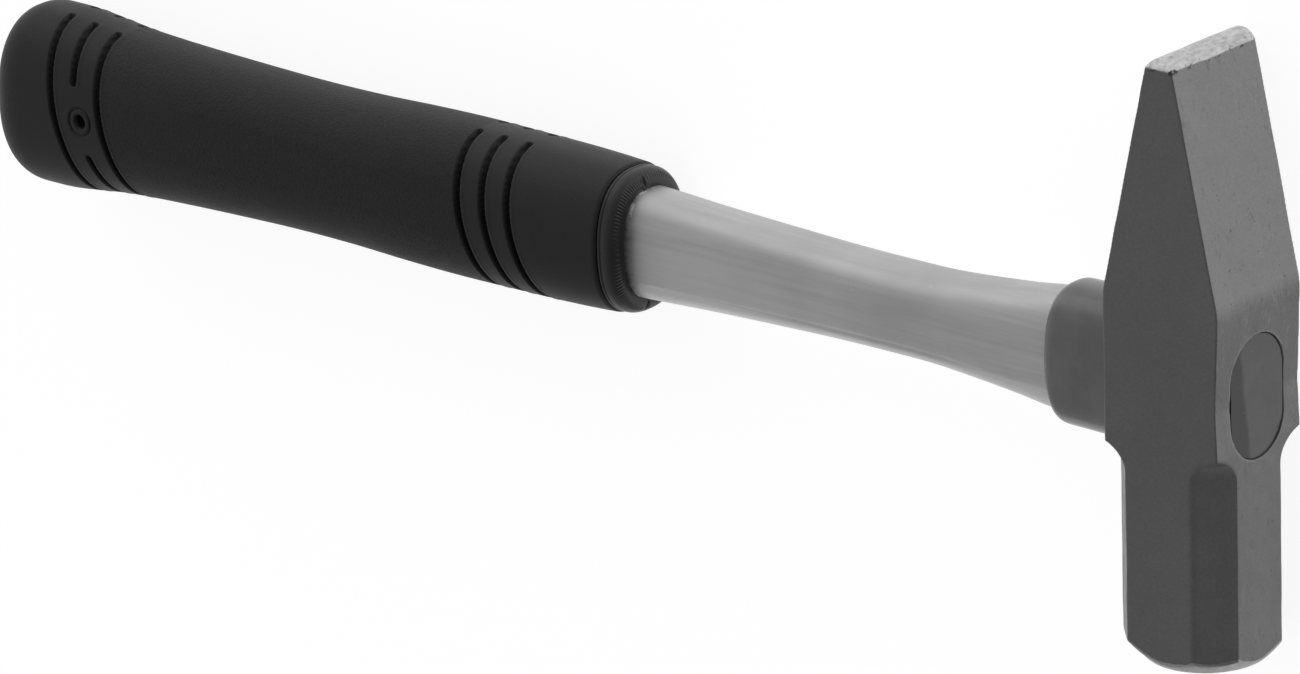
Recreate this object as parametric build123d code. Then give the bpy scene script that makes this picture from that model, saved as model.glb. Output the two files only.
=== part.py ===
from build123d import *
from math import acos, cos, radians, sin, sqrt, tan
import os

# Cross peen engineer's hammer with a tubular steel handle, lying on its cheek.
# +X runs along the handle from the grip to the front of the head, +Y from the striking
# face to the peen, +Z up. The origin is on the rest plane, directly below the eye centre.
# All dimensions are in millimetres. "half" values are measured from the handle's axis.

# ---- Head ----------------------------------------------------------------------------
head_length = 118.0          # striking face to peen crest
face_drop = 52.8             # eye centre to striking face
head_width = 25.2            # cheek to cheek
poll_front = 12.6            # axis of the head to the front of the poll
eye_front = 12.2             # axis to the front face at the eye
bend_front = 12.9            # axis to the front face where the peen's slope starts
head_back = 13.5             # axis to the back of the head
bend_height = 18.6           # eye centre to the start of the peen's slopes
bend_radius = 14.0
tip_half = 3.15              # half the peen's thickness where its rounded crest starts
crest_rise = 2.0             # height of the rounded crest
crest_end_bevel = 1.6        # how far the crest is ground back at its upper end
front_chamfer = 6.0          # corner chamfers of the poll
front_chamfer_top = 9.3      # eye centre down to where they start
back_chamfer = 4.8
back_chamfer_top = 10.6
chamfer_runout = 6.0         # radius of the arch at the top of each chamfer
face_radius = 11.5           # striking face, inside its turned bevel
bevel_reach = 3.6            # radial depth of the turned bevel at the poll's corners
bevel_rise = 3.7             # its height there
forging_radius = 0.2         # rounding of the cheeks' edges
face_edge_radius = 0.7

# ---- Eye, with straight sides and round ends, and what holds the handle in it ---------
eye_half_z = 7.7
eye_half_y = 11.9
eye_lip = 0.25               # chamfer of the eye's mouth
cap_recess = 0.1             # eye cap below the front face
cap_thickness = 2.4
fit_gap = 0.05               # between pieces pressed or moulded together
spigot_wall = 0.75           # plastic between the eye and the tube
core_length = 34.0
wedge_length = 17.0
wedge_height = 14.0
wedge_thick = 3.2
wedge_thin = 0.8

# ---- Ferrule and tube: stations from the eye centre towards the butt ------------------
tube_wall = 1.2
shoulder_at = 32.0           # fullest place, just behind the ferrule
shoulder_swell_z = 0.65      # how much fuller than in the eye
shoulder_swell_y = 0.75
neck_share = 0.278           # place of the neck between the shoulder and the grip's mouth
neck_half_z = 7.5
neck_half_y = 9.3
waist_half_z = 7.4           # a third of the way from the neck to the grip's mouth
waist_half_y = 9.25
mouth_half_z = 7.1           # where the tube enters the grip
mouth_half_y = 11.4
sleeve_half_z = 7.3          # constant section inside the grip
sleeve_half_y = 11.5
ferrule_end = 30.6
ferrule_wall_z = 1.7         # collar over the tube's shoulder
ferrule_wall_y = 2.0
ferrule_nose = 2.2           # rounding of the edge that faces the grip

# ---- Grip: stations from the butt end towards the head --------------------------------
grip_end = 302.6             # eye centre to the butt end
mouth_from_end = 170.0
cover_from_end = 165.2       # front edge of the rubber cover
sleeve_from_end = 142.0
swell_from_end = 124.0       # the front swell, under the first finger
palm_from_end = 86.0         # the slimmest place
flare_from_end = 38.0        # where the butt starts to flare
tube_from_end = 12.0         # end of the tube and of the liner
round_from_end = 10.6        # widest section, where the butt end starts to round over

liner_wall = 1.6             # hard liner on the tube
lip_length = 4.4             # liner's lip in front of the cover
lip_step_z = 2.4             # lip over the liner
lip_step_y = 1.9
lip_nose = 2.6
front_rubber_z = 2.7         # thickness of the rubber on the liner at each station
front_rubber_y = 2.2
swell_rubber_z = 3.6
swell_rubber_y = 3.0
palm_rubber_z = 3.2
palm_rubber_y = 2.4
flare_rubber_z = 3.5
flare_rubber_y = 3.9
butt_rubber_z = 3.6
butt_rubber_y = 6.2
end_round_z = 4.0            # how far the butt's rounded edge draws in
end_round_y = 4.8
end_fullness = 0.55          # place of the middle section of that edge

groove_width = 1.5
groove_depth = 1.1
upper_slant = 7.0            # degrees, the grooves lean towards the butt at the top
lower_slant = 17.5           # and towards the head at the bottom
groove_pitch = 6.4
grooves_per_set = 3
front_set_from_end = 143.9   # foremost groove of each set
butt_set_from_end = 34.2
spine_half = 2.6             # half width of the smooth spine that the grooves stop at
boss_from_end = 28.6
boss_clear = 8.2             # half the gap in the middle groove around the boss
boss_ring_radius = 3.0
boss_ring_width = 0.6
boss_ring_depth = 0.6
boss_hole_radius = 1.5
boss_hole_depth = 2.0

plug_length = 14.0
plug_flange = 1.6

# ---- Derived -------------------------------------------------------------------------
tube_eye_half_z = eye_half_z - spigot_wall - 2 * fit_gap
tube_eye_half_y = eye_half_y - spigot_wall - 2 * fit_gap
shoulder_half_z = tube_eye_half_z + shoulder_swell_z
shoulder_half_y = tube_eye_half_y + shoulder_swell_y
liner_half_z = sleeve_half_z + liner_wall
liner_half_y = sleeve_half_y + liner_wall
butt_half_z = liner_half_z + butt_rubber_z
butt_half_y = liner_half_y + butt_rubber_y
axis_z = max(head_width / 2, butt_half_z)
cap_back = eye_front - cap_recess - cap_thickness
tube_front = cap_back - fit_gap
mouth_at = grip_end - mouth_from_end
neck_at = shoulder_at + (mouth_at - shoulder_at) * neck_share
waist_at = neck_at + (mouth_at - neck_at) / 3
sleeve_at = grip_end - sleeve_from_end
cover_at = grip_end - cover_from_end
round_at = grip_end - round_from_end
tube_end = grip_end - tube_from_end
plug_end = tube_end + plug_flange
boss_at = grip_end - boss_from_end


def section(along):
    """Plane square to the handle, at a distance from the eye centre towards the butt."""
    return Plane(origin=(-along, 0, axis_z), x_dir=(0, 1, 0), z_dir=(-1, 0, 0))


def oval(along, half_z, half_y):
    return section(along) * Ellipse(half_y, half_z)


def oval_bar(start, end, half_z, half_y):
    """Straight bar of oval section between two distances from the eye centre."""
    return extrude(oval(start, half_z, half_y), amount=end - start)


def slot_bar(start, end, half_z, half_y):
    """Straight bar of the eye's section, with flat sides and round ends."""
    return extrude(section(start) * SlotOverall(2 * half_y, 2 * half_z), amount=end - start)


def oval_loft(stations, grow=0.0):
    """Smooth body through oval stations, each grown or shrunk by the same amount."""
    return loft([oval(at, half_z + grow, half_y + grow) for at, half_z, half_y in stations])


def tube_segments(grow=0.0):
    """The tube's outside in lengths: in the eye, the waisted neck, the run-in, the sleeve."""
    neck = oval_loft([
        (head_back, tube_eye_half_z, tube_eye_half_y),
        (shoulder_at, shoulder_half_z, shoulder_half_y),
        (neck_at, neck_half_z, neck_half_y),
        (waist_at, waist_half_z, waist_half_y),
        (mouth_at, mouth_half_z, mouth_half_y),
    ], grow)
    run_in = oval_loft([
        (mouth_at, mouth_half_z, mouth_half_y),
        (sleeve_at, sleeve_half_z, sleeve_half_y),
    ], grow)
    return [
        oval_bar(-tube_front, head_back, tube_eye_half_z + grow, tube_eye_half_y + grow),
        neck,
        run_in,
        oval_bar(sleeve_at, tube_end, sleeve_half_z + grow, sleeve_half_y + grow),
    ]


def cover_body(grow=0.0):
    """Outside of the rubber grip: a swelling bar and a rounded butt end."""
    bar = oval_loft([
        (cover_at, liner_half_z + front_rubber_z, liner_half_y + front_rubber_y),
        (grip_end - swell_from_end, liner_half_z + swell_rubber_z, liner_half_y + swell_rubber_y),
        (grip_end - palm_from_end, liner_half_z + palm_rubber_z, liner_half_y + palm_rubber_y),
        (grip_end - flare_from_end, liner_half_z + flare_rubber_z, liner_half_y + flare_rubber_y),
        (round_at, butt_half_z, butt_half_y),
    ], grow)
    drawn_in = 1 - sqrt(1 - end_fullness ** 2)
    end = loft([
        oval(round_at, butt_half_z + grow, butt_half_y + grow),
        oval(round_at + round_from_end * end_fullness,
             butt_half_z - end_round_z * drawn_in + grow, butt_half_y - end_round_y * drawn_in + grow),
        oval(grip_end + grow, butt_half_z - end_round_z + grow, butt_half_y - end_round_y + grow),
    ])
    return bar + end


def corner_cutter(side_x, side_z, reach_x, chamfer, top):
    """Cuts one corner of the poll at 45 degrees, with an arched run-out at its top."""
    depth = chamfer / sqrt(2)
    arch = sqrt(2 * chamfer_runout * depth - depth ** 2)
    full_y = -top - arch
    turn = acos(1 - depth / chamfer_runout)
    middle = (-depth + chamfer_runout * (1 - cos(turn / 2)),
              full_y + chamfer_runout * sin(turn / 2))
    below = -face_drop - head_width
    outline = Polyline((-depth, full_y), (-depth, below), (head_width, below),
                       (head_width, -top), (0, -top))
    outline += ThreePointArc((0, -top), middle, (-depth, full_y))
    corner = (side_x * reach_x, 0, axis_z + side_z * head_width / 2)
    plane = Plane(origin=corner, x_dir=(side_x, 0, side_z), z_dir=(-side_z, 0, side_x))
    return extrude(plane * make_face(outline), amount=head_width, both=True)


def crest_end():
    """Wedge that bevels the upper end of the peen's crest."""
    crest_y = head_length - face_drop
    plane = Plane(origin=(0, crest_y, axis_z + head_width / 2), x_dir=(0, 1, 0), z_dir=(1, 0, 0))
    outline = Polyline(
        (-crest_rise, 0), (crest_rise, -2 * crest_end_bevel), (crest_rise, 0), (-crest_rise, 0))
    return extrude(plane * make_face(outline), amount=head_back, both=True)


def head():
    """Forged head: octagonal poll, square cheeks and a wedge-shaped peen across the handle."""
    crest_y = head_length - face_drop
    tip_y = crest_y - crest_rise
    outline = Polyline(
        (poll_front, -face_drop), (poll_front, -front_chamfer_top), (eye_front, 0),
        (bend_front, bend_height), (tip_half, tip_y))
    outline += ThreePointArc((tip_half, tip_y), (0, crest_y), (-tip_half, tip_y))
    outline += Polyline(
        (-tip_half, tip_y), (-head_back, bend_height), (-head_back, -face_drop),
        (poll_front, -face_drop))
    profile = make_face(outline)
    bends = [v for v in profile.vertices() if abs(v.Y - bend_height) < 0.01]
    profile = fillet(bends, bend_radius)
    body = extrude(Pos(0, 0, axis_z - head_width / 2) * profile, amount=head_width)
    cheek_edges = body.edges().group_by(Axis.Z)
    body = fillet(cheek_edges[0] + cheek_edges[-1], forging_radius)
    for side_z in (-1, 1):
        body -= corner_cutter(1, side_z, poll_front, front_chamfer, front_chamfer_top)
        body -= corner_cutter(-1, side_z, head_back, back_chamfer, back_chamfer_top)
    body -= crest_end()
    slope = bevel_rise / bevel_reach
    outside = face_radius + 2 * head_width
    bevel = make_face(Polyline(
        (face_radius, -face_drop), (outside, -face_drop),
        (outside, -face_drop + (outside - face_radius) * slope), (face_radius, -face_drop)))
    body -= revolve(Pos(0, 0, axis_z) * bevel, Axis((0, 0, axis_z), (0, 1, 0)))
    face_rim = body.faces().sort_by(Axis.Y)[0].edges()
    body = fillet(face_rim, face_edge_radius)
    body -= slot_bar(-head_length, head_length, eye_half_z, eye_half_y)
    mouth = SlotOverall(2 * (eye_half_y + eye_lip), 2 * (eye_half_z + eye_lip))
    throat = SlotOverall(2 * eye_half_y, 2 * eye_half_z)
    return body - loft([section(-eye_front - fit_gap) * mouth, section(-eye_front + eye_lip) * throat])


def handle_tube():
    walls = [outer - inner for outer, inner in zip(tube_segments(), tube_segments(-tube_wall))]
    return walls[0] + walls[1] + walls[2] + walls[3]


def ferrule():
    """Moulded bush: a collar behind the head and a thin spigot that lines the eye."""
    collar = oval_bar(head_back, ferrule_end,
                      shoulder_half_z + ferrule_wall_z, shoulder_half_y + ferrule_wall_y)
    collar = fillet(collar.faces().sort_by(Axis.X)[0].edges(), ferrule_nose)
    spigot = slot_bar(-tube_front, head_back, eye_half_z - fit_gap, eye_half_y - fit_gap)
    bush = collar + spigot
    for segment in tube_segments(fit_gap)[:2]:
        bush -= segment
    return bush


def wedge(grow=0.0):
    """Steel wedge, thick at the front of the eye, with the broad faces up and down."""
    front = tube_front + grow
    back = tube_front - wedge_length - grow
    thick = wedge_thick / 2 + grow
    thin = wedge_thin / 2 + grow
    plane = Plane(origin=(0, 0, axis_z), x_dir=(1, 0, 0), z_dir=(0, -1, 0))
    outline = Polyline((front, thick), (back, thin), (back, -thin), (front, -thick), (front, thick))
    return extrude(plane * make_face(outline), amount=wedge_height / 2 + grow, both=True)


def core_plug():
    """Hardwood plug that the wedge spreads inside the tube's front end."""
    room = oval_bar(head_back, core_length - tube_front, eye_half_z, eye_half_y)
    in_eye, neck, *_ = tube_segments(-tube_wall - fit_gap)
    return in_eye - wedge(fit_gap) + (neck & room)


def eye_cap():
    front = cap_back + cap_thickness
    return slot_bar(-front, -cap_back, eye_half_z - fit_gap, eye_half_y - fit_gap)


def liner_bar(grow=0.0):
    return oval_bar(cover_at - fit_gap, tube_end + grow, liner_half_z + grow, liner_half_y + grow)


def grip_liner():
    """Hard sleeve bonded to the tube. Its rounded lip shows in front of the cover."""
    lip = oval_bar(cover_at - lip_length, cover_at - fit_gap,
                   liner_half_z + lip_step_z, liner_half_y + lip_step_y)
    lip = fillet(lip.faces().sort_by(Axis.X)[-1].edges(), lip_nose)
    sleeve = lip + liner_bar()
    for segment in tube_segments(fit_gap)[1:]:
        sleeve -= segment
    return sleeve


def butt_plug():
    """Plug that closes the tube's open end under the rubber."""
    stem = oval_bar(tube_end - plug_length, tube_end,
                    sleeve_half_z - tube_wall - fit_gap, sleeve_half_y - tube_wall - fit_gap)
    return stem + oval_bar(tube_end, plug_end, liner_half_z, liner_half_y)


def groove_slab(at):
    """Bent sheet that cuts one groove all round the grip."""
    reach = 2 * butt_half_y
    top = -at - reach * tan(radians(upper_slant))
    bottom = -at + reach * tan(radians(lower_slant))
    half = groove_width / 2
    outline = Polyline(
        (-at - half, 0), (top - half, reach), (top + half, reach), (-at + half, 0),
        (bottom + half, -reach), (bottom - half, -reach), (-at - half, 0))
    return extrude(Pos(0, 0, axis_z) * make_face(outline), amount=2 * axis_z, both=True)


def grip_grooves():
    """Slanting finger grooves, open round the sides and below, closed at the top spine."""
    starts = (grip_end - front_set_from_end, grip_end - butt_set_from_end)
    places = [start + i * groove_pitch for start in starts for i in range(grooves_per_set)]
    above = 2 * butt_half_y
    spine = Pos(-grip_end, above, axis_z) * Box(2 * grip_end, 2 * above, 2 * spine_half)
    boss = Pos(-boss_at, 0, 2 * axis_z) * Box(groove_pitch, 2 * boss_clear, 2 * axis_z)
    core = cover_body(-groove_depth)
    return [groove_slab(at) - core - spine - boss for at in places]


def boss_marks():
    """Moulded ring and blind pin hole on the upper cheek of the butt."""
    share = (flare_from_end - boss_from_end) / (flare_from_end - round_from_end)
    rubber = flare_rubber_z + share * (butt_rubber_z - flare_rubber_z)
    place = Pos(-boss_at, 0, axis_z + liner_half_z + rubber)
    ring = Cylinder(boss_ring_radius + boss_ring_width / 2, 2 * boss_ring_depth)
    ring -= Cylinder(boss_ring_radius - boss_ring_width / 2, 2 * boss_ring_depth)
    return place * (ring + Cylinder(boss_hole_radius, 2 * boss_hole_depth))


def grip_cover():
    """Soft rubber cover with a closed butt end."""
    hollow = liner_bar(fit_gap) + oval_bar(
        tube_end, plug_end + fit_gap, liner_half_z + fit_gap, liner_half_y + fit_gap)
    cover = cover_body() - hollow - boss_marks()
    for groove in grip_grooves():
        cover -= groove
    return cover


nodes = {
    "head": head(),
    "handle_tube": handle_tube(),
    "ferrule": ferrule(),
    "core_plug": core_plug(),
    "wedge": wedge(),
    "eye_cap": eye_cap(),
    "grip_liner": grip_liner(),
    "grip_cover": grip_cover(),
    "butt_plug": butt_plug(),
}

os.makedirs("parts", exist_ok=True)
for name, shape in nodes.items():
    export_step(shape, f"parts/{name}.step")
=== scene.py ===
from math import cos, pi, radians, sin, tan

import bmesh
import bpy
import numpy as np
from mathutils import Matrix, Vector


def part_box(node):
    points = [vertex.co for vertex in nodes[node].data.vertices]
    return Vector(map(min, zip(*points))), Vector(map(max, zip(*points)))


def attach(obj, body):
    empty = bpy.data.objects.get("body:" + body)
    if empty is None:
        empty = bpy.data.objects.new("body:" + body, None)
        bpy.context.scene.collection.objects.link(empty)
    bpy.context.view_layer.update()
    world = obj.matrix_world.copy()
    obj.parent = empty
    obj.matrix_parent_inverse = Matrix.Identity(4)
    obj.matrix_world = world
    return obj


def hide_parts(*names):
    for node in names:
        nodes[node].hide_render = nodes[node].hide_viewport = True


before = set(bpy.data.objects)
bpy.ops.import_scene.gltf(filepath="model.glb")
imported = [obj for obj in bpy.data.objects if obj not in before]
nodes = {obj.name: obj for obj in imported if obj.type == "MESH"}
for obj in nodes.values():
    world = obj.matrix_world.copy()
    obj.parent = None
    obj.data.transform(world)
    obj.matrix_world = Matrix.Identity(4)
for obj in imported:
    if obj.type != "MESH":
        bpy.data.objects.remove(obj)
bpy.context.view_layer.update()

# A cross peen hammer lying on its cheek. +X runs from the grip to the front of the head, +Y
# from the striking face to the peen, +Z up. "along" is the distance from the eye centre
# towards the butt, against X. A section's height is along Y and its width along Z. Lengths are
# in metres, and MM makes metres of millimetres.
MM = 0.001

# ---- Places read from the frame --------------------------------------------------------
head_lo, head_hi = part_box("head")
cover_lo, cover_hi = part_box("grip_cover")
tube_lo, tube_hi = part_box("handle_tube")
ferrule_lo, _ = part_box("ferrule")
_, liner_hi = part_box("grip_liner")
AXIS_Z = (head_lo.z + head_hi.z) / 2
HEAD_BACK = -head_lo.x
FERRULE_END = -ferrule_lo.x
TUBE_FRONT, TUBE_END = -tube_hi.x, -tube_lo.x
LIP_FRONT = -liner_hi.x
COVER_FRONT, BUTT_END = -cover_hi.x, -cover_lo.x
CREST_Y = head_hi.y
FACE_Y = head_lo.y

# ---- Sizes that shapes and materials share ---------------------------------------------
FACE_RADIUS = 11.5 * MM      # striking face inside its turned bevel
BEVEL_SLOPE = 1.03           # rise of the bevel for each step outwards
EYE_RADIUS = 7.7 * MM        # round ends of the eye
EYE_STRAIGHT = 4.2 * MM      # half length of its straight sides
CHAMFER_EDGE = 6.6 * MM      # where the poll's front chamfers meet the cheeks
CREST_EDGE = CREST_Y - 2.1 * MM     # where the ground crest starts
GROOVE_PITCH = 6.4 * MM
FRONT_GROOVES = [158.7 * MM + i * GROOVE_PITCH for i in range(3)]
BUTT_GROOVES = [268.4 * MM + i * GROOVE_PITCH for i in range(3)]
GROOVE_HALF = 0.85 * MM
GROOVE_DEPTH = 1.5 * MM
UPPER_LEAN = tan(radians(7.0))      # grooves lean towards the butt on the peen's side
LOWER_LEAN = tan(radians(17.5))     # and towards the head on the face's side
LEAN_MEAN = (UPPER_LEAN + LOWER_LEAN) / 2
LEAN_BEND = (LOWER_LEAN - UPPER_LEAN) / 2
LEAN_ROUND = 3.0 * MM        # rounds the bend between the two leans
SPINE_HALF = 2.6 * MM        # half width of the smooth spine, on the peen's side
BOSS_AT = 274.0 * MM         # ring boss and pin hole, along the handle
BOSS_CLEAR = 7.0 * MM        # half the gap in the middle groove beside the boss


# ---- Mesh helpers ----------------------------------------------------------------------
PLAIN_OVAL = 2.0             # fullness of an ellipse; more is squarer


def oval_points(along, half_z, half_y, fullness, count):
    """Ring of a superellipse section, square to the handle."""
    turn = np.linspace(0, 2 * pi, count, endpoint=False)
    c, s = np.cos(turn), np.sin(turn)
    z = np.sign(c) * np.abs(c) ** (2 / fullness) * half_z
    y = np.sign(s) * np.abs(s) ** (2 / fullness) * half_y
    return np.stack([np.full(count, -along), y, z + AXIS_Z], 1)


def skin(name, rings):
    """Smooth mesh through equal rings, closed by a fan at each end, with its faces outwards."""
    count = len(rings[0])
    points = np.concatenate(rings)
    faces = []
    for row in range(len(rings) - 1):
        low, high = row * count, (row + 1) * count
        for i in range(count):
            j = (i + 1) % count
            faces.append((low + i, low + j, high + j, high + i))
    for row, flip in ((0, True), (len(rings) - 1, False)):
        middle = len(points)
        points = np.vstack([points, rings[row].mean(0)])
        for i in range(count):
            a, b = row * count + i, row * count + (i + 1) % count
            faces.append((b, a, middle) if flip else (a, b, middle))
    mesh = bpy.data.meshes.new(name)
    mesh.from_pydata([tuple(p) for p in points], [], faces)
    mesh.validate()
    mesh.shade_smooth()
    bm = bmesh.new()
    bm.from_mesh(mesh)
    bmesh.ops.recalc_face_normals(bm, faces=bm.faces)
    bm.to_mesh(mesh)
    bm.free()
    piece = bpy.data.objects.new(name, mesh)
    bpy.context.scene.collection.objects.link(piece)
    return piece


def pushed_in(ring, depth):
    """The ring with each point moved towards the handle's axis, at most nearly to it."""
    outward = ring - np.array([0, 0, AXIS_Z])
    outward[:, 0] = 0
    length = np.linalg.norm(outward, axis=1)
    return ring - outward / length[:, None] * np.minimum(depth, length * 0.9)[:, None]


def follow(stations, along):
    """Smooth value between (place, value) stations, in millimetres, returned in metres."""
    at = np.array([s[0] for s in stations]) * MM
    value = np.array([s[1] for s in stations]) * MM
    slope = np.gradient(value, at)
    i = np.clip(np.searchsorted(at, along) - 1, 0, len(at) - 2)
    span = at[i + 1] - at[i]
    t = np.clip((along - at[i]) / span, 0, 1)
    start, end = value[i], value[i + 1]
    rise, fall = slope[i] * span, slope[i + 1] * span
    return ((2 * t**3 - 3 * t**2 + 1) * start + (t**3 - 2 * t**2 + t) * rise
            + (3 * t**2 - 2 * t**3) * end + (t**3 - t**2) * fall)


def smooth_step(value, low, high):
    """Rises smoothly from 0 to 1 between low and high."""
    t = np.clip((value - low) / (high - low), 0, 1)
    return t * t * (3 - 2 * t)


def hump(offset, width):
    """Bell shaped bump, 1 in its middle."""
    return np.exp(-(offset / width) ** 2)


# ---- Material helpers ------------------------------------------------------------------
# Sockets of a Mix node that mixes vectors, whose names it shares with its other kinds.
VECTOR_A, VECTOR_B, VECTOR_RESULT = 4, 5, 1


class Nodes:
    """Short names for building one material's node tree."""

    def __init__(self, name):
        self.material = bpy.data.materials.new(name)
        self.material.use_nodes = True
        self.tree = self.material.node_tree
        self.shader = self.tree.nodes["Principled BSDF"]
        coordinates = self.add("ShaderNodeTexCoord")
        self.place = coordinates.outputs["Object"]
        self.facing = coordinates.outputs["Normal"]

    def add(self, kind, **values):
        node = self.tree.nodes.new(kind)
        for key, value in values.items():
            setattr(node, key, value)
        return node

    def link(self, source, target):
        self.tree.links.new(source, target)

    def feed(self, socket, value):
        """Links a socket, or sets a number or colour on it."""
        if isinstance(value, bpy.types.NodeSocket):
            self.link(value, socket)
        else:
            socket.default_value = value

    def set(self, **values):
        """Feeds the shader's sockets, named with _ for each space."""
        for key, value in values.items():
            self.feed(self.shader.inputs[key.replace("_", " ")], value)

    def axes(self, source=None):
        node = self.add("ShaderNodeSeparateXYZ")
        self.link(source or self.place, node.inputs[0])
        return node.outputs["X"], node.outputs["Y"], node.outputs["Z"]

    def scaled(self, scale, source=None):
        node = self.add("ShaderNodeMapping")
        self.link(source or self.place, node.inputs["Vector"])
        node.inputs["Scale"].default_value = scale
        return node.outputs["Vector"]

    def noise(self, scale, detail=4, roughness=0.55, stretch=(1, 1, 1), distortion=0.0):
        """Noise with so many cells to the metre; a stretch under 1 draws it out along an axis."""
        node = self.add("ShaderNodeTexNoise")
        self.link(self.scaled(stretch), node.inputs["Vector"])
        node.inputs["Scale"].default_value = scale
        node.inputs["Detail"].default_value = detail
        node.inputs["Roughness"].default_value = roughness
        node.inputs["Distortion"].default_value = distortion
        return node.outputs["Fac"]

    def creases(self, scale, stretch, source):
        """Distance to the nearest edge between cells."""
        node = self.add("ShaderNodeTexVoronoi", feature="DISTANCE_TO_EDGE")
        self.link(self.scaled(stretch, source), node.inputs["Vector"])
        node.inputs["Scale"].default_value = scale
        return node.outputs["Distance"]

    def math(self, operation, a, b=0.0):
        node = self.add("ShaderNodeMath", operation=operation)
        self.feed(node.inputs[0], a)
        self.feed(node.inputs[1], b)
        return node.outputs[0]

    def plus(self, a, b):
        return self.math("ADD", a, b)

    def minus(self, a, b):
        return self.math("SUBTRACT", a, b)

    def times(self, a, b):
        return self.math("MULTIPLY", a, b)

    def distance(self, a, b):
        """Length of a vector with two parts."""
        return self.math("SQRT", self.plus(self.times(a, a), self.times(b, b)))

    def ranged(self, value, low, high, out_low=0.0, out_high=1.0, smooth=True):
        """Goes from out_low to out_high between low and high, and stays there outside."""
        node = self.add("ShaderNodeMapRange")
        node.interpolation_type = "SMOOTHSTEP" if smooth else "LINEAR"
        self.feed(node.inputs["Value"], value)
        limits = (("From Min", low), ("From Max", high), ("To Min", out_low), ("To Max", out_high))
        for key, number in limits:
            node.inputs[key].default_value = number
        return node.outputs["Result"]

    def fade(self, value, full, none):
        """One up to the first limit, nothing beyond the second."""
        return self.ranged(value, full, none, 1.0, 0.0)

    def near(self, value, middle, full, none):
        """One within the first distance of the middle, nothing beyond the second."""
        return self.fade(self.math("ABSOLUTE", self.minus(value, middle)), full, none)

    def mix(self, factor, a, b):
        node = self.add("ShaderNodeMix", data_type="RGBA")
        self.feed(node.inputs["Factor"], factor)
        self.feed(node.inputs["A"], a)
        self.feed(node.inputs["B"], b)
        return node.outputs["Result"]

    def tones(self, value, low, high, dark, light):
        """Grey that goes from dark to light as the value goes from low to high."""
        return self.mix(self.ranged(value, low, high), grey(dark), grey(light))

    def over(self, base, mask, strength, tone):
        """The base colour with a grey laid over it where the mask is."""
        return self.mix(self.times(mask, strength), base, grey(tone))

    def tinted(self, colour, factor):
        """Colour made lighter or darker by a factor."""
        node = self.add("ShaderNodeVectorMath", operation="SCALE")
        self.link(colour, node.inputs[0])
        self.feed(node.inputs["Scale"], factor)
        return node.outputs[0]

    def bump(self, height, distance, strength, base=None):
        node = self.add("ShaderNodeBump")
        self.link(height, node.inputs["Height"])
        node.inputs["Distance"].default_value = distance
        node.inputs["Strength"].default_value = strength
        if base is not None:
            self.link(base, node.inputs["Normal"])
        return node.outputs["Normal"]


def grey(value):
    """Colour with equal parts."""
    return (value, value, value, 1.0)


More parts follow.
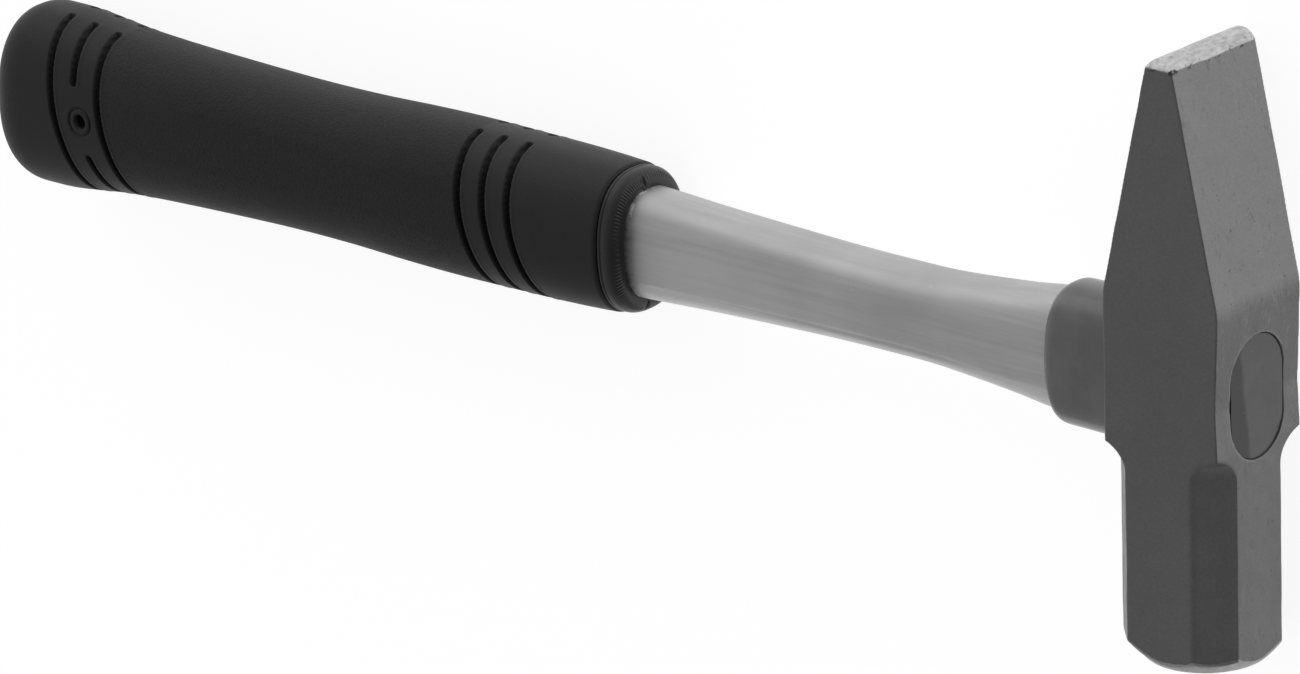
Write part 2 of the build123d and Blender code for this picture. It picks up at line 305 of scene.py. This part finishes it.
# ---- Materials -------------------------------------------------------------------------
def head_material():
    """Dark grey paint over a forged skin, with ground steel at the crest and the face."""
    m = Nodes("head_paint")
    x, y, z = m.axes()
    side_z = m.minus(z, AXIS_Z)
    waver = m.times(m.minus(m.noise(150, 4, 0.6), 0.5), 4.0 * MM)
    forward, upward, _ = m.axes(m.facing)
    front = m.ranged(forward, 0.80, 0.95)
    rough_skin = m.plus(0.25, m.times(front, 0.75))

    # Bare steel: the ground crest, and the rim of the bevel round the striking face.
    crest = m.ranged(m.plus(y, m.times(waver, 0.12)), CREST_EDGE - 0.1 * MM, CREST_EDGE + 0.1 * MM)
    outside_face = m.times(m.minus(m.distance(x, side_z), FACE_RADIUS), BEVEL_SLOPE)
    above_bevel = m.plus(m.minus(m.minus(y, FACE_Y), outside_face), m.times(waver, 0.25))
    rim = m.fade(above_bevel, 0.55 * MM, 0.70 * MM)
    bare = m.math("MAXIMUM", crest, rim)

    # Paint: clouded, with forging marks, scratches, pits and specks, with painted light on the front
    # slopes that tilt towards the peen.
    skin_marks = m.noise(520, 6, 0.68, stretch=(1, 0.55, 1))
    lit_front_slopes = m.times(front, m.ranged(upward, -0.04, 0.22, smooth=False))
    paint = m.tones(m.noise(60, 5, 0.6), 0.25, 0.75, 0.107, 0.122)
    # Painted light: the front faces that tilt towards the peen are made lighter.
    paint = m.mix(lit_front_slopes, paint, grey(0.225))
    paint = m.over(paint, m.times(m.ranged(skin_marks, 0.60, 0.72), rough_skin), 0.45, 0.050)
    grain = m.noise(2400, 3, 0.6, stretch=(0.6, 1, 1))
    paint = m.tinted(paint, m.ranged(grain, 0.3, 0.7, 0.92, 1.08))
    scratches = m.noise(900, 4, 0.65, stretch=(1, 0.25, 0.8), distortion=1.0)
    scratches = m.times(m.ranged(scratches, 0.52, 0.72), m.near(y, 15 * MM, 4 * MM, 10 * MM))
    paint = m.over(paint, m.times(scratches, front), 0.35, 0.26)
    low_slope = m.times(m.near(y, 24 * MM, 6 * MM, 20 * MM), 0.15)
    pitted = m.ranged(m.plus(m.noise(110, 2), low_slope), 0.45, 0.6)
    pitted = m.times(m.times(m.ranged(m.noise(1100, 3, 0.6), 0.64, 0.70), front), pitted)
    paint = m.over(paint, pitted, 0.6, 0.045)
    paint = m.over(paint, m.ranged(m.noise(2300, 2, 0.5), 0.70, 0.76), 0.25, 0.30)

    # Painted highlight: a thin light line along the eye's edge, on the front faces.
    past_middle = m.math("MAXIMUM", m.minus(m.math("ABSOLUTE", y), EYE_STRAIGHT), 0.0)
    from_eye = m.minus(m.distance(past_middle, side_z), EYE_RADIUS)
    eye_rim_highlight = m.near(m.plus(from_eye, m.times(waver, 0.10)), 0.3 * MM, 0.08 * MM, 0.3 * MM)
    paint = m.over(paint, m.times(eye_rim_highlight, front), 0.45, 0.26)

    # Steel: a fine grind with dark pits, darker on the rim, and chipped at the crest's edge.
    grind = m.noise(1300, 4, 0.65, stretch=(1, 1, 0.35))
    steel = m.tones(grind, 0.3, 0.7, 0.42, 0.62)
    steel = m.over(steel, m.ranged(m.noise(900, 3, 0.6), 0.60, 0.68), 0.6, 0.22)
    steel = m.over(steel, rim, 0.6, 0.18)
    chips = m.times(m.ranged(m.noise(600, 4, 0.6), 0.57, 0.62),
                    m.near(y, CREST_EDGE, 0.2 * MM, 0.7 * MM))
    paint = m.mix(chips, paint, grey(0.020))
    steel = m.mix(chips, steel, grey(0.060))
    m.set(Base_Color=m.mix(bare, paint, steel), Metallic=m.times(bare, 0.9))
    gloss = m.ranged(m.noise(420, 4), 0.3, 0.7, 0.36, 0.44)
    m.set(Roughness=m.plus(gloss, m.times(bare, 0.04)))

    # The edges between the poll's front chamfers and the cheeks are rounded over.
    rounded = m.add("ShaderNodeBevel", samples=8)
    rounded.inputs["Radius"].default_value = 2.0 * MM
    beside_chamfer = m.times(m.near(x, CHAMFER_EDGE, 1.6 * MM, 2.6 * MM), m.fade(y, -8 * MM, -7 * MM))
    blend = m.add("ShaderNodeMix", data_type="VECTOR")
    m.link(beside_chamfer, blend.inputs["Factor"])
    m.link(m.add("ShaderNodeNewGeometry").outputs["Normal"], blend.inputs[VECTOR_A])
    m.link(rounded.outputs["Normal"], blend.inputs[VECTOR_B])

    # Relief: the forged skin and its dents, the rough skin round the eye, a fine grain.
    dents = m.ranged(m.noise(330, 3, 0.5, stretch=(1, 0.6, 1)), 0.60, 0.72)
    forged = m.minus(m.times(skin_marks, rough_skin), m.times(dents, m.times(rough_skin, 0.5)))
    normal = m.bump(forged, 0.13 * MM, 0.7, blend.outputs[VECTOR_RESULT])
    near_eye = m.times(m.fade(from_eye, 1.0 * MM, 3.5 * MM), front)
    normal = m.bump(m.times(m.noise(900, 3, 0.6), near_eye), 0.20 * MM, 0.5, normal)
    fine = m.times(m.noise(2600, 3, 0.6), m.plus(0.15, m.times(front, 0.7)))
    normal = m.bump(fine, 0.07 * MM, 0.5, normal)
    m.set(Normal=m.bump(m.times(grind, bare), 0.05 * MM, 0.6, normal))
    return m.material


def tube_material():
    """Dull drawn steel, streaked along the tube, with a painted reflection along its lower side and a
    bright burr at the grip's lip that carries a painted glint.
    """
    m = Nodes("tube_steel")
    x, y, _ = m.axes()
    broad = m.noise(95, 4, 0.5, stretch=(0.07, 1, 1))
    fine = m.noise(900, 4, 0.6, stretch=(0.03, 1, 1))
    cloud = m.noise(40, 4, 0.6)
    streaks = m.plus(m.times(broad, 0.6), m.times(fine, 0.4))
    steel = m.tones(streaks, 0.35, 0.65, 0.43, 0.55)
    steel = m.over(steel, m.ranged(cloud, 0.4, 0.7), 0.2, 0.30)
    scuffs = m.ranged(m.noise(1500, 3, 0.6, stretch=(0.25, 1, 1)), 0.68, 0.74)
    steel = m.over(steel, scuffs, 0.3, 0.70)
    # Painted reflection: a light band along the tube's lower side, below the press crease.
    reflection_below_crease = m.fade(y, -6.4 * MM, -5.6 * MM)
    steel = m.over(steel, reflection_below_crease, 0.6, 0.72)
    # The burr at the grip's lip is real; its near white colour is a painted glint, strongest on its
    # upper and lower arcs.
    burr_and_glint = m.fade(m.plus(x, LIP_FRONT), 0.45 * MM, 0.75 * MM)
    burr_and_glint = m.times(burr_and_glint, m.ranged(m.math("ABSOLUTE", y), 5.5 * MM, 7.5 * MM, 0.25, 1.0))
    burr_and_glint = m.times(burr_and_glint, m.ranged(m.noise(900, 3), 0.42, 0.52))
    m.set(Base_Color=m.mix(burr_and_glint, steel, grey(0.95)), Metallic=0.55)
    uneven = m.plus(m.times(fine, 0.5), m.times(cloud, 0.5))
    m.set(Roughness=m.ranged(uneven, 0.35, 0.65, 0.40, 0.50))
    m.set(Normal=m.bump(fine, 0.03 * MM, 0.4, m.bump(broad, 0.25 * MM, 0.25)))
    return m.material


def gloss_material(name, tone, roughness, specular):
    """Glossy moulded dark plastic, very slightly uneven, with a few light specks."""
    m = Nodes(name)
    cloud = m.noise(120, 4, 0.55)
    colour = m.tones(cloud, 0.3, 0.7, tone * 0.88, tone * 1.12)
    colour = m.over(colour, m.ranged(m.noise(2400, 2), 0.68, 0.74), 0.15, tone * 3)
    m.set(Base_Color=colour, Roughness=m.ranged(cloud, 0.3, 0.7, roughness, roughness + 0.07))
    m.set(Specular_IOR_Level=specular, Normal=m.bump(m.noise(350, 3), 0.05 * MM, 0.35))
    return m.material


def cap_material():
    """Glossy plug in the eye, with a painted dark reflection along its upper side."""
    m = Nodes("cap_plastic")
    _, y, z = m.axes()
    cloud = m.noise(150, 4, 0.55)
    wave = m.times(m.minus(cloud, 0.5), 1.5 * MM)
    # Painted reflection: a dark band across the plug's upper side.
    dark_reflection_edge = m.plus(m.times(y, 0.13), m.plus(wave, AXIS_Z + 3.3 * MM))
    dark_reflection = m.ranged(m.minus(z, dark_reflection_edge), -0.5 * MM, 0.9 * MM)
    colour = m.tones(cloud, 0.3, 0.7, 0.064, 0.080)
    colour = m.over(colour, dark_reflection, 0.9, 0.012)
    colour = m.over(colour, m.ranged(m.noise(2400, 2), 0.69, 0.75), 0.3, 0.35)
    m.set(Base_Color=colour, Roughness=m.ranged(cloud, 0.3, 0.7, 0.18, 0.26))
    m.set(Specular_IOR_Level=0.45, Normal=m.bump(m.noise(400, 3), 0.04 * MM, 0.3))
    return m.material


def groove_mask(m, slanted, grooves):
    """One at the bottom of the grooves of a set, where painted shade goes."""
    nearer = grooves[0] - GROOVE_PITCH / 2
    farther = grooves[-1] + GROOVE_PITCH / 2
    off = m.math("PINGPONG", m.plus(slanted, nearer), GROOVE_PITCH / 2)
    bottom = m.ranged(off, GROOVE_PITCH / 2 - 0.90 * MM, GROOVE_PITCH / 2 - 0.65 * MM)
    in_set = m.times(m.math("LESS_THAN", slanted, -nearer), m.math("GREATER_THAN", slanted, -farther))
    return m.times(bottom, in_set)


def rubber_material():
    """Black rubber: leather grain between the groove sets, smooth bands elsewhere."""
    m = Nodes("grip_rubber")
    x, y, z = m.axes()
    bend = m.times(m.minus(m.distance(y, LEAN_ROUND), LEAN_ROUND), LEAN_BEND)
    slanted = m.minus(m.plus(x, m.times(y, LEAN_MEAN)), bend)

    # Leather grain: creases between small warped cells, darkened with painted shade.
    behind_front_set = m.fade(slanted, -FRONT_GROOVES[-1] - 1.2 * MM, -FRONT_GROOVES[-1] - 0.6 * MM)
    before_butt_set = m.ranged(slanted, -BUTT_GROOVES[0] + 0.6 * MM, -BUTT_GROOVES[0] + 1.2 * MM)
    grained = m.plus(0.25, m.times(m.times(behind_front_set, before_butt_set), 0.75))
    wobble = m.add("ShaderNodeTexNoise")
    m.link(m.place, wobble.inputs["Vector"])
    wobble.inputs["Scale"].default_value = 900
    warp = m.add("ShaderNodeVectorMath", operation="ADD")
    m.link(m.place, warp.inputs[0])
    m.link(m.tinted(wobble.outputs["Color"], 0.5 * MM), warp.inputs[1])
    creases = m.creases(1500, (1, 0.8, 0.8), warp.outputs[0])

    cloud = m.noise(55, 4, 0.55)
    black = m.tones(cloud, 0.3, 0.7, 0.021, 0.027)
    # Painted shade in the grain's creases.
    black = m.mix(m.times(grained, m.ranged(creases, 0.0, 0.12, 0.4, 0.0)), black, grey(0.006))
    black = m.over(black, m.ranged(m.noise(1700, 2), 0.70, 0.76), 0.10, 0.15)

    # Grooves and pin hole, painted dark at the bottom as shade.
    shaded_grooves = m.math("MAXIMUM", groove_mask(m, slanted, FRONT_GROOVES),
                     groove_mask(m, slanted, BUTT_GROOVES))
    near_boss = m.times(m.math("LESS_THAN", m.math("ABSOLUTE", y), BOSS_CLEAR + 0.4 * MM),
                        m.math("LESS_THAN", m.math("ABSOLUTE", m.plus(slanted, BOSS_AT)), 4 * MM))
    shaded_grooves = m.times(shaded_grooves, m.minus(1.0, near_boss))
    off_spine = m.ranged(m.math("ABSOLUTE", m.minus(z, AXIS_Z)), SPINE_HALF, SPINE_HALF + 0.5 * MM)
    shaded_grooves = m.times(shaded_grooves, m.math("MAXIMUM", off_spine, m.math("LESS_THAN", y, 0.0)))
    pin_hole = m.times(m.fade(m.distance(m.plus(x, BOSS_AT), y), 1.35 * MM, 1.55 * MM),
                       m.math("GREATER_THAN", z, AXIS_Z))
    shaded_grooves = m.math("MAXIMUM", shaded_grooves, pin_hole)
    # Painted shade: the groove bottoms and the pin hole are made nearly black.
    m.set(Base_Color=m.over(black, shaded_grooves, 0.85, 0.002), Specular_IOR_Level=0.20)
    rough = m.plus(m.ranged(cloud, 0.3, 0.7, 0.46, 0.52), m.times(grained, 0.08))
    m.set(Roughness=m.plus(rough, m.times(shaded_grooves, 0.3)))
    normal = m.bump(m.times(m.ranged(creases, 0.0, 0.22), grained), 0.10 * MM, 0.55)
    m.set(Normal=m.bump(m.noise(3200, 3, 0.6), 0.02 * MM, 0.35, normal))
    return m.material


def wood_material():
    """Pale hardwood with its grain along the handle."""
    m = Nodes("hardwood")
    grain = m.noise(500, 5, 0.6, stretch=(0.05, 1, 1), distortion=1.5)
    m.set(Base_Color=m.mix(m.ranged(grain, 0.35, 0.65), (0.42, 0.26, 0.13, 1), (0.62, 0.43, 0.25, 1)))
    m.set(Roughness=m.ranged(grain, 0.3, 0.7, 0.55, 0.7), Normal=m.bump(grain, 0.1 * MM, 0.4))
    return m.material


def wedge_material():
    """Bare steel with marks along the wedge."""
    m = Nodes("wedge_steel")
    marks = m.noise(1200, 4, 0.6, stretch=(0.1, 1, 1))
    m.set(Base_Color=m.tones(marks, 0.3, 0.7, 0.32, 0.5), Metallic=1.0)
    m.set(Roughness=m.ranged(marks, 0.3, 0.7, 0.35, 0.5), Normal=m.bump(marks, 0.05 * MM, 0.4))
    return m.material


# ---- Head ------------------------------------------------------------------------------
def forged_head():
    """Softens the head's edges and gives its faces the slight unevenness of a forging."""
    head = nodes["head"]
    remesh = head.modifiers.new("skin", "REMESH")
    remesh.mode = "VOXEL"
    remesh.voxel_size = 0.25 * MM
    remesh.use_smooth_shade = True
    relax = head.modifiers.new("relax", "SMOOTH")
    relax.factor = 0.5
    relax.iterations = 1
    swell = bpy.data.textures.new("forging", "CLOUDS")
    swell.noise_scale = 9 * MM
    swell.noise_depth = 2
    uneven = head.modifiers.new("forging", "DISPLACE")
    uneven.texture = swell
    uneven.texture_coords = "LOCAL"
    uneven.strength = 0.20 * MM
    uneven.mid_level = 1.1       # only inwards
    return head


# ---- Ferrule ---------------------------------------------------------------------------
COLLAR_HALF_Z = 9.15 * MM
COLLAR_HALF_Y = 13.85 * MM
COLLAR_FULLNESS = 2.5
COLLAR_TAPER = 0.2 * MM      # taller by this much at the head
COLLAR_EDGE = 0.3 * MM       # rounding at the joint line
COLLAR_NOSE = 2.4 * MM       # rounding that faces the grip
BORE_HALF_Z = 7.75 * MM      # opening that faces the grip
BORE_HALF_Y = 11.95 * MM
BACK_HALF_Z = 7.4 * MM       # opening at the head
BACK_HALF_Y = 11.2 * MM


def ferrule_collar():
    """Moulded collar with flattened sides, a rounded nose and a thin joint line at the head."""
    count = 160
    start = HEAD_BACK + 0.02 * MM
    rings = [
        oval_points(start, BACK_HALF_Z, BACK_HALF_Y, PLAIN_OVAL, count),
        oval_points(start, COLLAR_HALF_Z - 0.35 * MM, COLLAR_HALF_Y - 0.3 * MM, COLLAR_FULLNESS, count),
    ]
    for turn in np.linspace(0, pi / 2, 6):
        inset = COLLAR_EDGE * (1 - sin(turn))
        rings.append(oval_points(start + COLLAR_EDGE * (1 - cos(turn)), COLLAR_HALF_Z - inset,
                                 COLLAR_HALF_Y + COLLAR_TAPER - inset, COLLAR_FULLNESS, count))
    for along in np.linspace(HEAD_BACK + 2 * COLLAR_EDGE, FERRULE_END - COLLAR_NOSE, 24)[:-1]:
        taper = COLLAR_TAPER * (FERRULE_END - along) / (FERRULE_END - HEAD_BACK)
        rings.append(oval_points(along, COLLAR_HALF_Z, COLLAR_HALF_Y + taper, COLLAR_FULLNESS, count))
    for turn in np.linspace(0, pi / 2, 12):
        inset = COLLAR_NOSE * 0.75 * (1 - cos(turn))
        rings.append(oval_points(FERRULE_END - COLLAR_NOSE * (1 - sin(turn)),
                                 COLLAR_HALF_Z - inset * 0.6, COLLAR_HALF_Y - inset,
                                 COLLAR_FULLNESS, count))
    rings.append(oval_points(FERRULE_END - 0.1 * MM, BORE_HALF_Z, BORE_HALF_Y, PLAIN_OVAL, count))
    rings.append(oval_points(FERRULE_END - 4 * MM, BORE_HALF_Z - 0.3 * MM, BORE_HALF_Y - 0.4 * MM,
                             PLAIN_OVAL, count))
    return skin("ferrule_collar", rings)


# ---- Tube ------------------------------------------------------------------------------
# Half sizes in millimetres, and fullness, at places along the handle in millimetres.
TUBE_HEIGHT = ((9, 10.4), (22, 10.7), (32, 11.65), (40, 10.6), (50, 9.57), (60, 8.8), (72, 8.65),
               (84, 8.75), (100, 9.25), (116, 9.9), (132, 10.75), (160, 10.9), (290, 10.9))
TUBE_WIDTH = ((9, 6.8), (22, 7.2), (32, 7.55), (60, 7.4), (100, 7.25), (132, 7.1), (160, 7.25),
              (290, 7.25))
TUBE_FULLNESS = ((9, 2.3), (40, 2.55), (60, 2.7), (132, 3.0), (290, 3.0))
# Turns round the tube count from its upper side (+Z) towards the peen's side.
CREASE_TURN = radians(-35)   # press crease
RIPPLE_TURN = radians(82)    # small bumps behind the ferrule
RIPPLE_AT = 43 * MM


def tube_skin():
    """Waisted oval tube with the crease and the small bumps that pressing it left."""
    rings = []
    for along in np.linspace(TUBE_FRONT + 0.2 * MM, TUBE_END - 0.2 * MM, 420):
        width, height = follow(TUBE_WIDTH, along), follow(TUBE_HEIGHT, along)
        ring = oval_points(along, width, height, follow(TUBE_FULLNESS, along) / MM, 192)
        turn = np.arctan2(ring[:, 1] / height, (ring[:, 2] - AXIS_Z) / width)
        ripple = sin(along / (1.9 * MM)) * hump(along - RIPPLE_AT, 6 * MM)
        bumps = 0.10 * MM * ripple * hump(turn - RIPPLE_TURN, 0.16)
        crease = 0.20 * MM * smooth_step(along, 34 * MM, 60 * MM) * hump(turn - CREASE_TURN, 0.06)
        rings.append(pushed_in(ring, crease - bumps))
    return skin("tube_skin", rings)


# ---- Grip ------------------------------------------------------------------------------
# Half sizes in millimetres at places along the handle in millimetres.
GRIP_HEIGHT = ((137, 14.7), (142, 14.98), (150, 15.27), (162, 15.47), (180, 15.67), (192, 15.47),
               (206, 15.03), (222, 14.97), (236, 15.31), (250, 15.8), (262, 16.38), (270, 16.97),
               (277, 17.87), (284, 18.65), (292, 18.8))
GRIP_WIDTH = ((137, 11.7), (150, 12.3), (178, 12.5), (216, 12.1), (264, 12.4), (292, 12.45))
GRIP_FULLNESS = 2.35
MOUTH_ROUND = 0.8 * MM       # rounding of the cover's front edge
BUTT_START = 290.5 * MM      # where the butt end starts to round over
BUTT_TILT = 0.04             # how much it leans towards the head on the peen's side
RING_RADIUS = 2.9 * MM       # moulded ring of the boss
FINE_STEP, COARSE_STEP = 0.17 * MM, 0.7 * MM
FINE_STRETCHES = ((150 * MM, 178 * MM), (258 * MM, 288 * MM))


def grip_places():
    """Places along the grip, closer together where the grooves and the boss are."""
    places = [COVER_FRONT + MOUTH_ROUND + 0.1 * MM]
    while places[-1] < BUTT_START:
        fine = any(low < places[-1] < high for low, high in FINE_STRETCHES)
        places.append(places[-1] + (FINE_STEP if fine else COARSE_STEP))
    return places


def groove_depth(along, y, z):
    """How far the rubber is pressed in at points on the grip: grooves, ring and pin hole."""
    slanted = along - LEAN_MEAN * y + LEAN_BEND * (np.hypot(y, LEAN_ROUND) - LEAN_ROUND)
    past_spine = np.where(y > 0, np.maximum(SPINE_HALF + GROOVE_HALF - np.abs(z - AXIS_Z), 0), 0)
    past_boss = np.where(z > AXIS_Z, np.maximum(BOSS_CLEAR + GROOVE_HALF - np.abs(y), 0), 0)
    depth = np.zeros_like(y)
    for start in FRONT_GROOVES + BUTT_GROOVES:
        off = slanted - start
        past = np.hypot(past_spine, past_boss) if start == BUTT_GROOVES[1] else past_spine
        cut = 1 - smooth_step(np.hypot(off, past), GROOVE_HALF * 0.78, GROOVE_HALF * 1.08)
        ridge = hump(off + GROOVE_HALF * 1.7, 0.35 * MM) * hump(past, 0.5 * MM)
        depth += GROOVE_DEPTH * cut - 0.07 * MM * ridge
    reach = np.hypot(along - BOSS_AT, y)
    ring = hump(reach - RING_RADIUS, 0.22 * MM)
    hole = 1 - smooth_step(reach, 1.3 * MM, 1.6 * MM)
    return depth + np.where(z > AXIS_Z, 0.55 * MM * ring + 1.9 * MM * hole, 0)


def grip_skin():
    """Rubber cover: swelling oval, slanting grooves, moulded ring, rounded butt end."""
    def ring_at(along, half_z, half_y):
        return oval_points(along, half_z, half_y, GRIP_FULLNESS, 560)

    places = grip_places()
    front_z, front_y = follow(GRIP_WIDTH, places[0]), follow(GRIP_HEIGHT, places[0])
    rings = [ring_at(COVER_FRONT + 0.25 * MM, front_z - 1.6 * MM, front_y - 1.6 * MM)]
    for turn in np.linspace(0, pi / 2, 7)[:-1]:
        inset = MOUTH_ROUND * (1 - sin(turn))
        rings.append(ring_at(COVER_FRONT + 0.1 * MM + MOUTH_ROUND * (1 - cos(turn)),
                             front_z - inset, front_y - inset))
    for along in places:
        rings.append(ring_at(along, follow(GRIP_WIDTH, along), follow(GRIP_HEIGHT, along)))
    start = places[-1]
    reach = BUTT_END - start - 0.1 * MM
    half_z, half_y = follow(GRIP_WIDTH, start), follow(GRIP_HEIGHT, start)
    for turn in np.linspace(0, pi / 2, 40)[1:]:
        shrink = max(cos(turn) ** (2 / 3.2), 0.004)
        ring = ring_at(start + reach * sin(turn) ** (2 / 2.3), half_z * shrink, half_y * shrink)
        ring[:, 0] += BUTT_TILT * (ring[:, 1] + half_y) * sin(turn)
        rings.append(ring)
    return skin("grip_skin", [pushed_in(ring, groove_depth(-ring[:, 0], ring[:, 1], ring[:, 2]))
                              for ring in rings])


# ---- Lip of the liner ------------------------------------------------------------------
LIP_HEIGHT = 14.4 * MM
LIP_WIDTH = 11.35 * MM
LIP_BACK = COVER_FRONT - 0.28 * MM
LIP_ROLL_LENGTH = 2.88 * MM  # rounding of the lip's mouth, along the handle
LIP_ROLL_DEPTH = 2.32 * MM   # and towards it
ROLL_START, ROLL_END = 0.25, 0.75 * pi      # how far round that rounding the rings go
LIP_SLIT = radians(83)       # parting slits, this far round from the upper side each way
RIBS = 110


def liner_lip():
    """Hard lip in front of the rubber: a seam, a rounding with fine cross ribs, two slits."""
    count = 960

    def ring_at(along, inset_z, inset_y):
        return oval_points(along, LIP_WIDTH - inset_z, LIP_HEIGHT - inset_y, GRIP_FULLNESS, count)

    turns = np.linspace(0, 2 * pi, count, endpoint=False)
    off_slit = np.abs(np.abs((turns + pi) % (2 * pi) - pi) - LIP_SLIT)
    slits = hump(off_slit * LIP_HEIGHT, 0.42 * MM)
    ribs = np.sin(turns * RIBS)
    rings = [ring_at(COVER_FRONT + 1.5 * MM, 1.4 * MM, 1.4 * MM),
             ring_at(LIP_BACK + 0.1 * MM, 1.2 * MM, 1.2 * MM)]
    for along in np.linspace(LIP_BACK, LIP_FRONT + LIP_ROLL_LENGTH, 14):
        corner = 0.06 * MM * (1 - smooth_step(LIP_BACK - along, 0, 0.15 * MM))
        seam = 0.20 * MM * hump(LIP_BACK - along - 0.7 * MM, 0.14 * MM)
        rings.append(ring_at(along, corner + seam, corner + seam))
    for turn in np.linspace(ROLL_START, ROLL_END, 40):
        inset = LIP_ROLL_DEPTH * (1 - cos(turn - ROLL_START))
        along = LIP_FRONT + LIP_ROLL_LENGTH * (1 - sin(turn - ROLL_START))
        ribbed = smooth_step(turn, 0.9, 1.2) * (1 - smooth_step(turn, 1.9, 2.2))
        depth = 1.1 * MM * slits * smooth_step(turn, 0.9, 1.4) - 0.08 * MM * ribs * ribbed
        rings.append(pushed_in(ring_at(along, inset, inset * 1.08), depth))
    rings.append(ring_at(LIP_FRONT + 3.2 * MM, 4.2 * MM, 4.6 * MM))
    return skin("liner_lip", rings)


# ---- Assembly --------------------------------------------------------------------------
def dress(piece, material):
    """Gives the piece this one material."""
    piece.data.materials.clear()
    piece.data.materials.append(material)


def stand_in(piece, node, material):
    """The piece takes a CAD node's place."""
    dress(piece, material)
    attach(piece, "root")
    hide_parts(node)


ferrule_grey = gloss_material("ferrule_plastic", 0.131, 0.17, 0.6)
liner_black = gloss_material("liner_plastic", 0.019, 0.34, 0.40)
dress(forged_head(), head_material())
dress(nodes["eye_cap"], cap_material())
dress(nodes["core_plug"], wood_material())
dress(nodes["wedge"], wedge_material())
dress(nodes["butt_plug"], liner_black)
stand_in(tube_skin(), "handle_tube", tube_material())
stand_in(ferrule_collar(), "ferrule", ferrule_grey)
stand_in(liner_lip(), "grip_liner", liner_black)
stand_in(grip_skin(), "grip_cover", rubber_material())


# ---- Studio ----------------------------------------------------------------------------
DIM_SIDE = (0.85, -0.20, 0.50)
BRIGHT_SIDE = (-0.60, 0.78, 0.05)


def floor():
    """Wide white floor just below the hammer."""
    half = 40.0
    mesh = bpy.data.meshes.new("floor")
    corners = [(-half, -half, 0), (half, -half, 0), (half, half, 0), (-half, half, 0)]
    mesh.from_pydata(corners, [], [(0, 1, 2, 3)])
    plane = bpy.data.objects.new("floor", mesh)
    bpy.context.scene.collection.objects.link(plane)
    plane.location.z = -0.05 * MM
    material = bpy.data.materials.new("floor")
    material.use_nodes = True
    shader = material.node_tree.nodes["Principled BSDF"]
    shader.inputs["Base Color"].default_value = grey(0.25)
    shader.inputs["Roughness"].default_value = 0.9
    shader.inputs["Specular IOR Level"].default_value = 0.0
    shader.inputs["Emission Color"].default_value = grey(1.0)
    shader.inputs["Emission Strength"].default_value = 0.89
    plane.data.materials.append(material)


def sky():
    """Soft white room, dim in front of the head and bright low on the peen's side."""
    world = bpy.data.worlds.new("studio")
    bpy.context.scene.world = world
    world.use_nodes = True
    tree = world.node_tree
    place = tree.nodes.new("ShaderNodeTexCoord")

    def lobe(centre, edge, middle, outside, inside):
        """Brightness that changes towards the middle of one side of the room."""
        toward = tree.nodes.new("ShaderNodeVectorMath")
        toward.operation = "DOT_PRODUCT"
        tree.links.new(place.outputs["Generated"], toward.inputs[0])
        toward.inputs[1].default_value = Vector(centre).normalized()
        ramp = tree.nodes.new("ShaderNodeMapRange")
        ramp.interpolation_type = "SMOOTHSTEP"
        tree.links.new(toward.outputs["Value"], ramp.inputs["Value"])
        limits = (("From Min", edge), ("From Max", middle), ("To Min", outside), ("To Max", inside))
        for key, value in limits:
            ramp.inputs[key].default_value = value
        return ramp.outputs["Result"]

    total = tree.nodes.new("ShaderNodeMath")
    total.operation = "ADD"
    tree.links.new(lobe(DIM_SIDE, 0.0, 0.9, 0.58, 0.16), total.inputs[0])
    tree.links.new(lobe(BRIGHT_SIDE, 0.75, 0.97, 0.0, 0.9), total.inputs[1])
    background = tree.nodes["Background"]
    background.inputs["Color"].default_value = grey(1.0)
    tree.links.new(total.outputs[0], background.inputs["Strength"])


def front_lamp():
    """Broad soft lamp in front of the head, on the peen's side."""
    light = bpy.data.lights.new("front", "AREA")
    light.shape = "RECTANGLE"
    light.size, light.size_y = 1.0, 0.4
    light.energy = 2.0
    holder = bpy.data.objects.new("front", light)
    bpy.context.scene.collection.objects.link(holder)
    place, aim = Vector((1.0, 0.9, 0.25)), Vector((0, 0.02, 0.012))
    holder.location = place
    holder.rotation_euler = (aim - place).to_track_quat("-Z", "Y").to_euler()
    holder.visible_camera = False


# ---- Camera ----------------------------------------------------------------------------
SWING = radians(41.467)      # how far the view turns from the cheek towards the eye face
LIFT = radians(19.765)       # how far it rises towards the peen
ROLL = radians(1.863)
DISTANCE = 1641.142 * MM
ASIDE, ABOVE = 100.649 * MM, -11.51 * MM    # from the eye's centre to the frame's middle
LENS = 249.2308              # focal length, in millimetres
SENSOR = 36.0                # sensor width, in millimetres


def camera():
    """Long lens at the photograph's viewing angle."""
    right = Vector((cos(SWING), 0, -sin(SWING)))
    up = Vector((-sin(SWING) * sin(LIFT), cos(LIFT), -cos(SWING) * sin(LIFT)))
    back = right.cross(up)
    place = Vector((0, 0, AXIS_Z)) - right * ASIDE - up * ABOVE + back * DISTANCE
    turned_right = right * cos(ROLL) - up * sin(ROLL)
    turned_up = right * sin(ROLL) + up * cos(ROLL)
    lens = bpy.data.cameras.new("camera")
    lens.sensor_width = SENSOR
    lens.lens = LENS
    lens.clip_start, lens.clip_end = 0.05, 60.0
    holder = bpy.data.objects.new("camera", lens)
    bpy.context.scene.collection.objects.link(holder)
    holder.matrix_world = Matrix((
        (turned_right.x, turned_up.x, back.x, place.x),
        (turned_right.y, turned_up.y, back.y, place.y),
        (turned_right.z, turned_up.z, back.z, place.z),
        (0, 0, 0, 1)))
    bpy.context.scene.camera = holder


floor()
sky()
front_lamp()
camera()
bpy.context.scene.view_settings.view_transform = "Standard"
